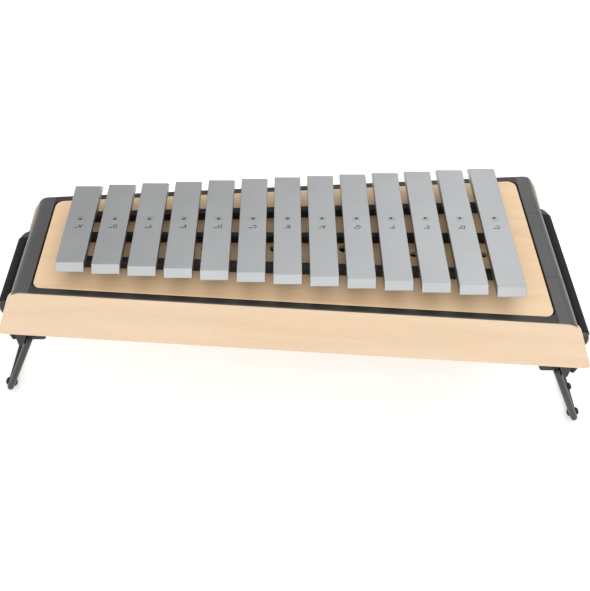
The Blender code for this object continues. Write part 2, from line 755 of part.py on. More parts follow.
def build_hinge(label, end, side, plastic, steel, pivot):
    """A hinge block with its stop lug and cheek, and the pin that the leg turns on."""
    limb = side * leg_limb_y(end)
    slot = LEG_ROD_RADIUS + GAP
    cheek_near = level_line(limb - side * slot)
    cheek_far = level_line(limb - side * (slot + BLOCK_CHEEK))
    name = f"hinge_block_{label}"
    block = make_piece(name, slab(block_outline(end, False), cheek_near, cheek_far), plastic, pivot)
    middle = level_line(limb - side * (slot + BLOCK_CHEEK / 2))
    lug = slab(block_outline(end, True), level_line(limb + side * slot), middle)
    apply_shape(block, f"{name}_lug", lug, "UNION")
    wide = PIN_RADIUS + GAP
    deep = slot + BLOCK_CHEEK * 2
    profile = [(0, -deep), (wide, -deep), (wide, deep), (0, deep)]
    bore = moved(turned_to(turned(profile, SMALL_SIDES), "X", 90), y=limb)
    apply_shape(block, f"{name}_bore", bore, "DIFFERENCE")
    shank = 2 * LEG_ROD_RADIUS + GAP + BLOCK_CHEEK
    profile = [(0, -PIN_HEAD_HEIGHT), (PIN_HEAD_RADIUS, -PIN_HEAD_HEIGHT), (PIN_HEAD_RADIUS, 0)]
    profile += [(PIN_RADIUS, 0), (PIN_RADIUS, shank), (0, shank)]
    place = (0, limb + side * slot, 0)
    turn = (side * math.pi / 2, 0, 0)
    pin = turned(profile, SMALL_SIDES)
    make_piece(f"hinge_pin_{label}", pin, steel, pivot, place, turn, smooth=True)


def build_cone_foot(label, end, side, rubber, case):
    """A tapered rubber foot under a corner ear."""
    profile = [
        (0, -GAP),
        (CONE_TOP_RADIUS, -GAP),
        (CONE_TIP_RADIUS + CONE_EDGE / 2, CONE_EDGE - CONE_HEIGHT),
        (CONE_TIP_RADIUS - CONE_EDGE / 2, -CONE_HEIGHT),
        (0, -CONE_HEIGHT),
    ]
    x = end * CONE_X
    place = (x, side * (outer_face(x) - CONE_SETBACK), 0)
    make_piece(f"cone_foot_{label}", turned(profile, ROD_SIDES), rubber, case, place, smooth=True)


def build_ends(materials, case):
    """What the two ends hold: caps, end boards, handles, legs, hinges and cone feet."""
    for label, end in (("treble", -1), ("bass", 1)):
        build_end_board(f"end_board_{label}", end, materials["wood"], case)
        build_handle(label, end, materials["tube"], materials["grip"], materials["steel"], case)
        pivot = make_empty(f"pivot_{label}", (end * LEG_PIVOT_X, 0, PIVOT_Z))
        setbacks = (RING_SETBACK,) if end < 0 else (RING_SETBACK, RING_SETBACK + RING_SPACING)
        ring_places = [(side, setback) for side in (-1, 1) for setback in setbacks]
        build_leg(label, end, ring_places, materials["rod"], materials["rubber"], pivot)
        for side, where in ((-1, "front"), (1, "rear")):
            corner = f"{label}_{where}"
            build_hinge(corner, end, side, materials["block"], materials["steel"], pivot)
            build_cone_foot(corner, end, side, materials["rubber"], case)


def build_caps(material, case):
    """The treble end's single cap and the bass end's three, parted by two seams."""
    front = plan_line(-1, 0.0)
    rear = plan_line(1, 0.0)
    build_cap("end_cap_treble", -1, front, rear, material, case)
    seam = BASS_SEAM_Y + GAP / 2
    inside = BASS_SEAM_Y - GAP / 2
    build_cap("end_cap_bass_front", 1, front, level_line(-seam), material, case)
    build_cap("end_cap_bass_middle", 1, level_line(-inside), level_line(inside), material, case)
    build_cap("end_cap_bass_rear", 1, level_line(seam), rear, material, case)


def main():
    """Builds every piece of the instrument."""
    for old in list(bpy.data.objects):
        bpy.data.objects.remove(old, do_unlink=True)
    materials = {
        "bar": make_material("bar_aluminium", (0.44, 0.45, 0.46), 0.42, 1.0),
        "wood": make_material("case_beech", (0.87, 0.66, 0.45), 0.5),
        "board": make_material("board_beech", (0.88, 0.63, 0.38), 0.5),
        "frame": make_material("frame_plastic", (0.045, 0.038, 0.033), 0.5),
        "cap": make_material("cap_plastic", (0.11, 0.11, 0.12), 0.4),
        "rail": make_material("rail_plastic", (0.012, 0.012, 0.013), 0.6),
        "tube": make_material("handle_lacquer", (0.03, 0.03, 0.03), 0.25),
        "grip": make_material("grip_rubber", (0.008, 0.008, 0.008), 0.8),
        "rod": make_material("leg_lacquer", (0.012, 0.012, 0.012), 0.35),
        "block": make_material("block_plastic", (0.012, 0.010, 0.009), 0.5),
        "rubber": make_material("foot_rubber", (0.010, 0.010, 0.010), 0.85),
        "steel": make_material("pin_steel", (0.25, 0.25, 0.26), 0.35, 1.0),
    }
    case = make_empty("case", (0, 0, CASE_Z))
    deck = make_empty("deck", (0, 0, CASE_Z + DECK))
    for index in range(BAR_COUNT):
        build_bar(index, materials["bar"], deck)
    build_rail("support_rail_front", -1, materials["rail"], deck)
    build_rail("support_rail_rear", 1, materials["rail"], deck)
    build_centre_strip(materials["rail"], deck)
    build_soundboard(materials["board"], deck)
    build_top_frame(materials["frame"], case)
    build_caps(materials["cap"], case)
    build_panel("front_panel", -1, materials["wood"], case)
    build_panel("rear_panel", 1, materials["wood"], case)
    build_bottom_board(materials["wood"], case)
    for number in range(DIVIDER_COUNT):
        build_divider(number, materials["wood"], case)
    build_ends(materials, case)


main()
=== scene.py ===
"""The looks of a thirteen-bar metallophone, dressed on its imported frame.

Ground aluminium bars, lacquered beech panels, moulded caps and rails, a lacquered tube at each end
and rod legs with rubber rings, under soft studio light on a pale floor.
"""

from __future__ import annotations

import json
import logging
import math
from dataclasses import dataclass, field
from enum import Enum

import bmesh
import bpy
from mathutils import Matrix, Vector

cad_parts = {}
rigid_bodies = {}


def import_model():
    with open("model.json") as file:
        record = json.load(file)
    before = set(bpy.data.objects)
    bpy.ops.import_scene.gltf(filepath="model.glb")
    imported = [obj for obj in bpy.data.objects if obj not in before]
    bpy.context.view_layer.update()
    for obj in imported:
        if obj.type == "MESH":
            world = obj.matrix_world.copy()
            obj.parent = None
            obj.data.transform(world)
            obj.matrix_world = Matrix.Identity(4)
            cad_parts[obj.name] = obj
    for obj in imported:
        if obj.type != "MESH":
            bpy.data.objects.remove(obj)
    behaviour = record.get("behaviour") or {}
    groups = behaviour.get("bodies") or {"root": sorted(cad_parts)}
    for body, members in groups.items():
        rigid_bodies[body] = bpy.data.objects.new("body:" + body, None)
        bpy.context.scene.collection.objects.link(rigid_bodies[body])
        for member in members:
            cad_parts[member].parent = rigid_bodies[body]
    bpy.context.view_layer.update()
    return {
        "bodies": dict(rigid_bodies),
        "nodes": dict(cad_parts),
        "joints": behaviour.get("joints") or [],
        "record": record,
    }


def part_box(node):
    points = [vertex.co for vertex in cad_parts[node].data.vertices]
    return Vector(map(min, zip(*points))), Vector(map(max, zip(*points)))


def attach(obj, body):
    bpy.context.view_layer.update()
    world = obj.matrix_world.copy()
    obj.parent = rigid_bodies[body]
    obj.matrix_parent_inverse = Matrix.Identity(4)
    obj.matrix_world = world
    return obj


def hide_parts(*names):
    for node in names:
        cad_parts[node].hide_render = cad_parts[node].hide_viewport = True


LOG = logging.getLogger("metallophone")
MM = 0.001
NOTE_LETTERS = "CDEFGAB"
MIDDLE_BAR = 6
ENDS = (("treble", -1), ("bass", 1))
WHITE = (1.0, 1.0, 1.0, 1.0)

# Cleaning and shading of the meshes
MERGE_MM = 0.002
FLAT_DEG = 0.4
BEVEL_DEG = 32.0
SHARP_DEG = 40.0
NORMAL_WEIGHT = 90

# Stretches and facets of round forms
BEND_STEPS = 12
DOME_STEPS = 8
ROD_SIDES = 48
TURNED_SIDES = 64

Point = tuple[float, float]
Triple = tuple[float, float, float]


def linear(hex_colour: str) -> tuple[float, float, float, float]:
    """Turns an sRGB hex colour into a linear one.

    Args:
        hex_colour: Six hex digits after a hash sign.

    Returns:
        Linear red, green, blue and alpha.
    """
    values = [int(hex_colour[k : k + 2], 16) / 255 for k in (1, 3, 5)]
    return (*[v / 12.92 if v <= 0.04045 else ((v + 0.055) / 1.055) ** 2.4 for v in values], 1.0)


def add_node(
    tree: bpy.types.NodeTree, kind: str, settings: dict | None = None, links: dict | None = None
) -> bpy.types.Node:
    """Adds a node, sets what it holds and links what feeds it.

    Args:
        tree: The node tree.
        kind: The node's type.
        settings: Attributes, or input defaults where the key is a socket's name or number.
        links: Sockets that feed the inputs, by input name or number.

    Returns:
        The new node.
    """
    node = tree.nodes.new(kind)
    for key, value in (settings or {}).items():
        if isinstance(key, str) and hasattr(node, key):
            setattr(node, key, value)
        else:
            node.inputs[key].default_value = value
    for key, socket in (links or {}).items():
        tree.links.new(socket, node.inputs[key])
    return node


def pattern_scale(size_mm: float) -> float:
    """How many times a pattern of one unit repeats in a metre.

    Args:
        size_mm: The pattern's real size.

    Returns:
        The scale for Object coordinates in metres.
    """
    return 1 / (size_mm * MM)


@dataclass(frozen=True)
class Finish:
    """A surface finish: two close colours over a stretched grain, with its roughness and fine relief."""

    name: str
    dark: str
    light: str
    roughness: float
    metallic: float = 0.0
    grain_mm: Triple = (1.0, 1.0, 1.0)
    cloud_mm: float = 40.0
    roughness_spread: float = 0.06
    relief_mm: float = 0.02
    relief_strength: float = 0.6
    coat: float = 0.0
    coat_roughness: float = 0.2
    contrast: Point = (0.3, 0.7)

    def build(self) -> bpy.types.Material:
        """Makes the material.

        Returns:
            The finished material.
        """
        material = bpy.data.materials.new(self.name)
        material.use_nodes = True
        tree = material.node_tree
        shader = tree.nodes["Principled BSDF"]
        shader.inputs["Metallic"].default_value = self.metallic
        shader.inputs["Coat Weight"].default_value = self.coat
        shader.inputs["Coat Roughness"].default_value = self.coat_roughness
        place = add_node(tree, "ShaderNodeTexCoord").outputs["Object"]
        stretch = [pattern_scale(size) for size in self.grain_mm]
        scaled = add_node(tree, "ShaderNodeMapping", {"Scale": stretch}, {"Vector": place})
        noise = add_node(
            tree,
            "ShaderNodeTexNoise",
            {"Scale": 1.0, "Detail": 3.0},
            {"Vector": scaled.outputs[0]},
        )
        grain = noise.outputs[0]
        low, high = self.contrast
        factor = add_node(
            tree,
            "ShaderNodeMapRange",
            {"From Min": low, "From Max": high},
            {"Value": self.pattern(tree, grain, place)},
        )
        colour = add_node(
            tree,
            "ShaderNodeMix",
            {"data_type": "RGBA", 6: linear(self.dark), 7: linear(self.light)},
            {0: factor.outputs[0]},
        )
        tree.links.new(colour.outputs[2], shader.inputs["Base Color"])
        spread = add_node(
            tree,
            "ShaderNodeMapRange",
            {
                "To Min": self.roughness - self.roughness_spread,
                "To Max": self.roughness + self.roughness_spread,
            },
            {"Value": grain},
        )
        tree.links.new(spread.outputs[0], shader.inputs["Roughness"])
        bump = add_node(
            tree,
            "ShaderNodeBump",
            {"Strength": self.relief_strength, "Distance": self.relief_mm * MM},
            {"Height": grain},
        )
        tree.links.new(bump.outputs[0], shader.inputs["Normal"])
        return material

    def pattern(
        self, tree: bpy.types.NodeTree, grain: bpy.types.NodeSocket, place: bpy.types.NodeSocket
    ) -> bpy.types.NodeSocket:
        """Blends the fine grain evenly with broad clouds.

        Args:
            tree: The material's node tree.
            grain: The fine pattern's socket.
            place: The Object coordinates.

        Returns:
            The blended pattern's socket.
        """
        clouds = add_node(
            tree,
            "ShaderNodeTexNoise",
            {"Scale": pattern_scale(self.cloud_mm), "Detail": 2.0},
            {"Vector": place},
        )
        both = add_node(
            tree, "ShaderNodeMath", {"operation": "ADD"}, {0: grain, 1: clouds.outputs[0]}
        )
        half = add_node(
            tree, "ShaderNodeMath", {"operation": "MULTIPLY", 1: 0.5}, {0: both.outputs[0]}
        )
        return half.outputs[0]


@dataclass(frozen=True)
class Timber(Finish):
    """Sawn and lacquered wood: long fibres along x, with broad growth bands across them."""

    band_mm: float = 22.0
    band_stretch: float = 16.0
    fibre_share: float = 0.45

    def pattern(
        self, tree: bpy.types.NodeTree, grain: bpy.types.NodeSocket, place: bpy.types.NodeSocket
    ) -> bpy.types.NodeSocket:
        """Lays growth bands under the fibres.

        Args:
            tree: The material's node tree.
            grain: The fibres' socket.
            place: The Object coordinates.

        Returns:
            The blended pattern's socket.
        """
        across = pattern_scale(self.band_mm)
        along = pattern_scale(self.band_mm * self.band_stretch)
        band = add_node(
            tree, "ShaderNodeMapping", {"Scale": [along, across, across]}, {"Vector": place}
        )
        growth = add_node(
            tree,
            "ShaderNodeTexNoise",
            {"Scale": 1.0, "Detail": 4.0, "Distortion": 0.6},
            {"Vector": band.outputs[0]},
        )
        fine = add_node(
            tree, "ShaderNodeMath", {"operation": "MULTIPLY", 1: self.fibre_share}, {0: grain}
        )
        broad = add_node(
            tree,
            "ShaderNodeMath",
            {"operation": "MULTIPLY", 1: 1 - self.fibre_share},
            {0: growth.outputs[0]},
        )
        both = add_node(
            tree,
            "ShaderNodeMath",
            {"operation": "ADD"},
            {0: fine.outputs[0], 1: broad.outputs[0]},
        )
        return both.outputs[0]


class Slot(Enum):
    """The record's material slots, with the finish that each one gets."""

    # Aluminium bar stock, ground along its length and matt anodised: an even grey with a soft sheen
    BAR = (
        "bar_aluminium",
        Finish(
            "bar_anodised_aluminium",
            dark="#A9ABAC",
            light="#B4B6B7",
            roughness=0.42,
            metallic=1.0,
            grain_mm=(0.35, 9.0, 0.35),
            cloud_mm=60.0,
            roughness_spread=0.05,
            relief_mm=0.004,
        ),
    )
    # Beech ply under satin lacquer: pale, with faint fibres along the panel
    PANEL = (
        "panel_wood",
        Timber(
            "panel_beech_ply",
            dark="#EBCBA6",
            light="#F4DABB",
            roughness=0.48,
            grain_mm=(26.0, 1.1, 1.1),
            roughness_spread=0.05,
            relief_mm=0.012,
            coat=0.12,
            coat_roughness=0.3,
        ),
    )
    # Beech sheet under satin lacquer: a warmer tone, with longer flecks
    BOARD = (
        "soundboard_wood",
        Timber(
            "soundboard_beech",
            dark="#ECC69A",
            light="#F5D8B2",
            roughness=0.46,
            grain_mm=(34.0, 1.3, 1.3),
            roughness_spread=0.05,
            relief_mm=0.012,
            coat=0.12,
            coat_roughness=0.3,
            band_mm=15.0,
        ),
    )
    # Unlacquered ply inside: duller and rougher
    INNER = (
        "inner_wood",
        Timber(
            "inner_ply",
            dark="#C9A478",
            light="#DDBD94",
            roughness=0.7,
            grain_mm=(20.0, 1.0, 1.0),
        ),
    )
    # Moulded ABS with a fine spark texture: dark grey that lights up softly where it rolls over
    CAP = (
        "cap_plastic",
        Finish(
            "cap_moulded_abs",
            dark="#4A4949",
            light="#555453",
            roughness=0.36,
            grain_mm=(0.5, 0.5, 0.5),
            cloud_mm=50.0,
            roughness_spread=0.04,
            relief_mm=0.01,
        ),
    )
    # The frame round the soundboard is the same ABS in a browner black, so the trim reads as a dark line
    TRIM = (
        "cap_plastic",
        Finish(
            "trim_moulded_abs",
            dark="#2A2624",
            light="#33302D",
            roughness=0.42,
            grain_mm=(0.5, 0.5, 0.5),
            cloud_mm=50.0,
            roughness_spread=0.04,
            relief_mm=0.01,
        ),
    )
    # Moulded ABS rails: black and dull
    RAIL = (
        "rail_plastic",
        Finish(
            "rail_moulded_abs",
            dark="#161617",
            light="#1E1E20",
            roughness=0.55,
            grain_mm=(0.6, 0.6, 0.6),
            cloud_mm=30.0,
        ),
    )
    # Moulded polyamide blocks: near black with a faint warm tone
    BLOCK = (
        "block_plastic",
        Finish(
            "block_moulded_nylon",
            dark="#161413",
            light="#1F1C1A",
            roughness=0.5,
            grain_mm=(0.5, 0.5, 0.5),
            cloud_mm=20.0,
        ),
    )
    # Tube under gloss stove enamel: smooth, with a sharp streak of light
    TUBE = (
        "tube_lacquer",
        Finish(
            "tube_stove_enamel",
            dark="#2B2B2B",
            light="#343434",
            roughness=0.24,
            grain_mm=(3.0, 3.0, 3.0),
            cloud_mm=30.0,
            roughness_spread=0.03,
            relief_mm=0.008,
            coat=0.4,
            coat_roughness=0.12,
        ),
    )
    # Rod under black powder coat: faint orange peel and a soft streak
    LEG = (
        "leg_lacquer",
        Finish(
            "leg_powder_coat",
            dark="#141414",
            light="#1D1D1D",
            roughness=0.36,
            grain_mm=(1.2, 1.2, 1.2),
            cloud_mm=20.0,
            roughness_spread=0.05,
            relief_mm=0.02,
        ),
    )
    # Foamed rubber sleeve: dull black, fine pores
    GRIP = (
        "grip_rubber",
        Finish(
            "grip_foam_rubber",
            dark="#0F0F0F",
            light="#181818",
            roughness=0.78,
            grain_mm=(0.7, 0.7, 0.7),
            cloud_mm=15.0,
            roughness_spread=0.06,
            relief_mm=0.05,
        ),
    )
    # Moulded rubber: dull black
    FOOT = (
        "foot_rubber",
        Finish(
            "foot_moulded_rubber",
            dark="#111111",
            light="#1A1A1A",
            roughness=0.7,
            grain_mm=(0.6, 0.6, 0.6),
            cloud_mm=12.0,
            roughness_spread=0.06,
            relief_mm=0.03,
        ),
    )
    # Black-oxide steel: dark, with fine turning marks that catch a little light
    STEEL = (
        "pin_steel",
        Finish(
            "black_oxide_steel",
            dark="#2B2C2E",
            light="#38393B",
            roughness=0.42,
            metallic=1.0,
            grain_mm=(0.3, 0.3, 0.3),
            cloud_mm=8.0,
            roughness_spread=0.08,
            relief_mm=0.005,
        ),
    )
    # Screen print on the bars: dull dark grey ink
    INK = (
        "bar_aluminium",
        Finish(
            "bar_print_ink",
            dark="#232426",
            light="#2E2F31",
            roughness=0.6,
            grain_mm=(0.4, 0.4, 0.4),
            cloud_mm=5.0,
        ),
    )

    @property
    def label(self) -> str:
        """The slot's name in the record."""
        return self.value[0]

    @property
    def finish(self) -> Finish:
        """The finish that the slot gets."""
        return self.value[1]


class Workshop:
    """Holds the frame, the materials and the steps that every piece goes through."""

    def __init__(self, frame: dict) -> None:
        """Keeps the frame and makes the materials.
        """
        self.frame = frame
        self.materials = {slot: slot.finish.build() for slot in Slot}
        bodies = frame["record"]["behaviour"]["bodies"]
        self.body_of = {node: body for body, nodes in bodies.items() for node in nodes}
        self.slot_of = {part["node"]: part["material_slot"] for part in frame["record"]["subparts"]}

    def slot_for(self, node: str) -> Slot:
        """The slot of a CAD node; the frame shares the caps' slot and has its own finish.

        Args:
            node: The CAD node.

        Returns:
            Its slot.
        """
        if node == "top_frame":
            return Slot.TRIM
        return next(slot for slot in Slot if slot.label == self.slot_of[node])

    def settle(
        self, name: str, mesh: bpy.types.Mesh, slot: Slot, body: str, nodes: tuple[str, ...] = ()
    ) -> None:
        """Makes a finished piece of a mesh and puts it on its body.

        Args:
            name: The piece's name.
            mesh: Its mesh, in place.
            slot: Its material slot.
            body: The body that it rides on.
            nodes: The CAD nodes that it stands for.
        """
        mesh.materials.clear()
        mesh.materials.append(self.materials[slot])
        piece = bpy.data.objects.new(name, mesh)
        bpy.context.collection.objects.link(piece)
        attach(piece, body)
        if nodes:
            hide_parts(*nodes)
        LOG.info("%s rides on %s, %d faces", name, body, len(mesh.polygons))

    def refine(self, node: str, edge_mm: float, segments: int = 3) -> None:
        """Replaces a flat-sided CAD node with a copy whose sharp edges are rounded.

        Args:
            node: The CAD node.
            edge_mm: The radius of the rounding.
            segments: The faces across each rounding.
        """
        source = bmesh.new()
        source.from_mesh(self.frame["nodes"][node].data)
        bmesh.ops.remove_doubles(source, verts=source.verts, dist=MERGE_MM * MM)
        bmesh.ops.dissolve_limit(
            source, angle_limit=math.radians(FLAT_DEG), verts=source.verts, edges=source.edges
        )
        mesh = bpy.data.meshes.new(f"{node}_plain")
        source.to_mesh(mesh)
        source.free()
        mesh.shade_smooth()
        carrier = bpy.data.objects.new(f"{node}_plain", mesh)
        bpy.context.collection.objects.link(carrier)
        if edge_mm:
            bevel = carrier.modifiers.new("edges", "BEVEL")
            bevel.width = edge_mm * MM
            bevel.segments = segments
            bevel.limit_method = "ANGLE"
            bevel.angle_limit = math.radians(BEVEL_DEG)
            bevel.use_clamp_overlap = True
        weighted = carrier.modifiers.new("normals", "WEIGHTED_NORMAL")
        weighted.weight = NORMAL_WEIGHT
        final = evaluated_mesh(carrier, f"{node}_skin")
        bpy.data.objects.remove(carrier)
        self.settle(f"{node}_finished", final, self.slot_for(node), self.body_of[node], (node,))


def evaluated_mesh(carrier: bpy.types.Object, name: str) -> bpy.types.Mesh:
    """The mesh of an object with its modifiers applied.

    Args:
        carrier: The object.
        name: The new mesh's name.

    Returns:
        A plain mesh.
    """
    bpy.context.view_layer.update()
    graph = bpy.context.evaluated_depsgraph_get()
    mesh = bpy.data.meshes.new_from_object(
        carrier.evaluated_get(graph), preserve_all_data_layers=True, depsgraph=graph
    )
    mesh.name = name
    return mesh


def arc(centre: Point, radius: float, start: float, end: float, steps: int) -> list[Point]:
    """Points on an arc.

    Args:
        centre: The arc's centre.
        radius: Its radius.
        start: The first angle.
        end: The last angle.
        steps: How many stretches it has.

    Returns:
        The points, both ends included.
    """
    angles = [start + (end - start) * k / steps for k in range(steps + 1)]
    return [(centre[0] + radius * math.cos(a), centre[1] + radius * math.sin(a)) for a in angles]


def bent_path(half: float, start: float, reach: float, bend: float) -> list[Point]:
    """A flat U: out from start, round two bends, and back.

    Args:
        half: Half the U's width.
        start: Where its limbs begin.
        reach: Where its crossbar runs.
        bend: The radius of its bends.

    Returns:
        Points (along, across).
    """
    points = [(start, -half)]
    points += arc((reach - bend, bend - half), bend, -math.pi / 2, 0.0, BEND_STEPS)
    points += arc((reach - bend, half - bend), bend, 0.0, math.pi / 2, BEND_STEPS)
    points.append((start, half))
    return points


def rounded_corner(outer: float, base: float, edge: float, steps: int) -> list[Point]:
    """A quarter round on a turned profile, from its end face out to its side.

    Args:
        outer: The profile's radius.
        base: The height of its end face.
        edge: The radius of the rounding.
        steps: The stretches in it.

    Returns:
        Points (radius, height).
    """
    angles = [math.pi / 2 * k / steps for k in range(steps + 1)]
    return [(outer - edge + edge * math.sin(a), base + edge - edge * math.cos(a)) for a in angles]


def sleeve_profile(bore: float, outer: float, half: float, edge: float, steps: int) -> list[Point]:
    """The section of a bored sleeve with rounded shoulders.

    Args:
        bore: The bore's radius.
        outer: The outer radius.
        half: Half its length.
        edge: The radius of its shoulders.
        steps: The stretches in each shoulder.

    Returns:
        Points (radius, height).
    """
    lip = rounded_corner(outer, -half, edge, steps)
    return [(bore, -half), *lip, *[(r, -z) for r, z in lip[::-1]], (bore, half)]


def rod_mesh(
    name: str, path: list[Vector], normal: Vector, radius: float, domed: bool
) -> bpy.types.Mesh:
    """A round rod along a flat path.

    Args:
        name: The mesh's name.
        path: Points of its centre line.
        normal: The normal of the plane that the path lies in.
        radius: The rod's radius.
        domed: Whether its ends are half balls.

    Returns:
        The closed mesh.
    """
    shape = bmesh.new()
    points = [Vector(p) for p in path]
    last = len(points) - 1
    rows = []
    for k, point in enumerate(points):
        along = (points[min(k + 1, last)] - points[max(k - 1, 0)]).normalized()
        across = along.cross(normal)
        steps = [(0.0, 1.0)]
        if k in (0, last):
            ending = 1 if k else -1
            sweep = [math.pi / 2 * n / DOME_STEPS for n in range(DOME_STEPS)]
            steps = [(ending * math.sin(a), math.cos(a)) for a in sweep] if domed else steps
            steps = steps if k else steps[::-1]
        for shift, share in steps:
            ring = []
            for n in range(ROD_SIDES):
                a = math.tau * n / ROD_SIDES
                spoke = normal * math.cos(a) + across * math.sin(a)
                ring.append(shape.verts.new(point + along * radius * shift + spoke * radius * share))
            rows.append(ring)
    for low, high in zip(rows, rows[1:]):
        for k in range(ROD_SIDES):
            following = (k + 1) % ROD_SIDES
            shape.faces.new((low[k], low[following], high[following], high[k]))
    shape.faces.new(rows[0])
    shape.faces.new(rows[-1])
    bmesh.ops.recalc_face_normals(shape, faces=shape.faces)
    return smooth_mesh(name, shape)


def turned_mesh(name: str, profile: list[Point], place: Vector, axis: str) -> bpy.types.Mesh:
    """A shape turned about an axis.

    Args:
        name: The mesh's name.
        profile: (radius, height) points; with none on the axis the shape has a bore.
        place: Where the axis starts.
        axis: "Y" or "Z".

    Returns:
        The closed mesh.
    """
    shape = bmesh.new()
    spokes = [math.tau * k / TURNED_SIDES for k in range(TURNED_SIDES)]
    rows = []
    for radius, height in profile:
        if radius == 0:
            rows.append([shape.verts.new((0, 0, height))] * TURNED_SIDES)
            continue
        ring = [(radius * math.cos(a), radius * math.sin(a), height) for a in spokes]
        rows.append([shape.verts.new(corner) for corner in ring])
    pairs = list(zip(rows, rows[1:]))
    if profile[0][0] and profile[-1][0]:
        pairs.append((rows[-1], rows[0]))
    for low, high in pairs:
        for k in range(TURNED_SIDES):
            following = (k + 1) % TURNED_SIDES
            corners = (low[k], low[following], high[following], high[k])
            shape.faces.new(list(dict.fromkeys(corners)))
    turn = Matrix.Rotation(math.pi / 2, 4, "X") if axis == "Y" else Matrix.Identity(4)
    shape.transform(Matrix.Translation(place) @ turn)
    bmesh.ops.recalc_face_normals(shape, faces=shape.faces)
    return smooth_mesh(name, shape)


def smooth_mesh(name: str, shape: bmesh.types.BMesh, angle: float = SHARP_DEG) -> bpy.types.Mesh:
    """Turns a bmesh into a mesh that is smooth but at its sharp edges.

    Args:
        name: The mesh's name.
        shape: The shape, which is freed.
        angle: The least angle of a sharp edge, in degrees.

    Returns:
        The mesh.
    """
    mesh = bpy.data.meshes.new(name)
    shape.to_mesh(mesh)
    shape.free()
    mesh.shade_smooth()
    mesh.set_sharp_from_angle(angle=math.radians(angle))
    return mesh


@dataclass
class ToneBars:
    """The thirteen bars, each with its printed note head, staff and letter."""

    shop: Workshop
    edge_mm: float = 0.14
    edge_segments: int = 2
    letter_height_mm: float = 5.0
    capital_share: float = 0.7
    stroke_mm: float = 0.12
    letter_y_mm: float = -5.8
    head_y_mm: float = 7.2
    head_size_mm: Point = (3.8, 2.7)
    head_slant_deg: float = 22.0
    head_points: int = 24
    head_step_mm: float = 0.325
    staff_lines: int = 5
    staff_width_mm: float = 8.0
    staff_pitch_mm: float = 1.3
    line_mm: float = 0.16
    ink_mm: float = 0.03

    def build(self) -> None:
        """Refines each bar and prints its marks."""
        bars = sorted(node for node in self.shop.body_of if node.startswith("tone_bar"))
        for index, node in enumerate(bars):
            self.shop.refine(node, self.edge_mm, self.edge_segments)
            self.print_marks(index, node)

    def print_marks(self, index: int, node: str) -> None:
        """Prints a bar's letter and note, to be read from the player's side.

        Args:
            index: The bar's number from the bass.
            node: The bar's CAD node.
        """
        low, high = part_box(node)
        centre = Vector(((low.x + high.x) / 2, 0, high.z))
        shape = bmesh.new()
        self.add_letter(shape, index, centre)
        self.add_note(shape, index, centre)
        mesh = smooth_mesh(f"{node}_marks", shape)
        self.shop.settle(f"{node}_marks", mesh, Slot.INK, self.shop.body_of[node])

    def add_letter(self, shape: bmesh.types.BMesh, index: int, centre: Vector) -> None:
        """Adds the note's letter and its octave strokes.

        Args:
            shape: The bar's marks so far.
            index: The bar's number from the bass.
            centre: The middle of the bar's top.
        """
        octave = index // len(NOTE_LETTERS)
        curve = bpy.data.curves.new("letter", "FONT")
        curve.body = NOTE_LETTERS[index % len(NOTE_LETTERS)] + "'" * (octave + 2)
        curve.size = self.letter_height_mm * MM / self.capital_share
        curve.align_x = "CENTER"
        curve.align_y = "CENTER"
        curve.extrude = self.ink_mm * MM / 2
        curve.offset = self.stroke_mm * MM
        carrier = bpy.data.objects.new("letter", curve)
        bpy.context.collection.objects.link(carrier)
        mesh = evaluated_mesh(carrier, "letter")
        bpy.data.objects.remove(carrier)
        place = centre + Vector((0, self.letter_y_mm * MM, 0))
        mesh.transform(Matrix.Translation(place) @ Matrix.Rotation(math.pi, 4, "Z"))
        shape.from_mesh(mesh)
        bpy.data.meshes.remove(mesh)

    def add_note(self, shape: bmesh.types.BMesh, index: int, centre: Vector) -> None:
        """Adds the staff lines and a slanted oval note head, lower or higher with the note.

        Args:
            shape: The bar's marks so far.
            index: The bar's number from the bass.
            centre: The middle of the bar's top.
        """
        middle = centre + Vector((0, self.head_y_mm * MM, 0))
        half = self.staff_width_mm * MM / 2
        thin = self.line_mm * MM / 2
        for line in range(self.staff_lines):
            y = (line - self.staff_lines // 2) * self.staff_pitch_mm * MM
            corners = [(-half, y - thin), (half, y - thin), (half, y + thin), (-half, y + thin)]
            self.add_flat(shape, corners, middle)
        height = (MIDDLE_BAR - index) * self.head_step_mm * MM
        wide, tall = (size * MM / 2 for size in self.head_size_mm)
        turn = Matrix.Rotation(math.radians(self.head_slant_deg), 2)
        angles = [math.tau * k / self.head_points for k in range(self.head_points)]
        oval = [turn @ Vector((wide * math.cos(a), tall * math.sin(a))) for a in angles]
        self.add_flat(shape, [(p.x, p.y + height) for p in oval], middle)

    def add_flat(self, shape: bmesh.types.BMesh, corners: list[Point], middle: Vector) -> None:
        """Adds one thin printed shape.

        Args:
            shape: The bar's marks so far.
            corners: Its outline about the middle.
            middle: Where it is printed.
        """
        thick = self.ink_mm * MM / 2
        low = [shape.verts.new(middle + Vector((x, y, -thick))) for x, y in corners]
        high = [shape.verts.new(middle + Vector((x, y, thick))) for x, y in corners]
        shape.faces.new(low[::-1])
        shape.faces.new(high)
        for k in range(len(corners)):
            following = (k + 1) % len(corners)
            shape.faces.new((low[k], low[following], high[following], high[k]))


@dataclass
class Casework:
    """The panels, boards, frame, caps and rails: flat or rolled pieces with fine rounded edges."""

    shop: Workshop
    edges_mm: dict[str, float] = field(
        default_factory=lambda: {
            "front_panel": 0.35,
            "rear_panel": 0.35,
            "soundboard": 0.25,
            "top_frame": 0.25,
            "end_cap": 0.3,
            "support_rail": 0.2,
            "centre_strip": 0.0,
            "bottom_board": 0.8,
            "end_board": 0.5,
            "hinge_block": 0.5,
        }
    )

    def build(self) -> None:
        """Refines every piece of the casework."""
        for node in self.shop.body_of:
            for family, edge in self.edges_mm.items():
                if node.startswith(family):
                    self.shop.refine(node, edge)


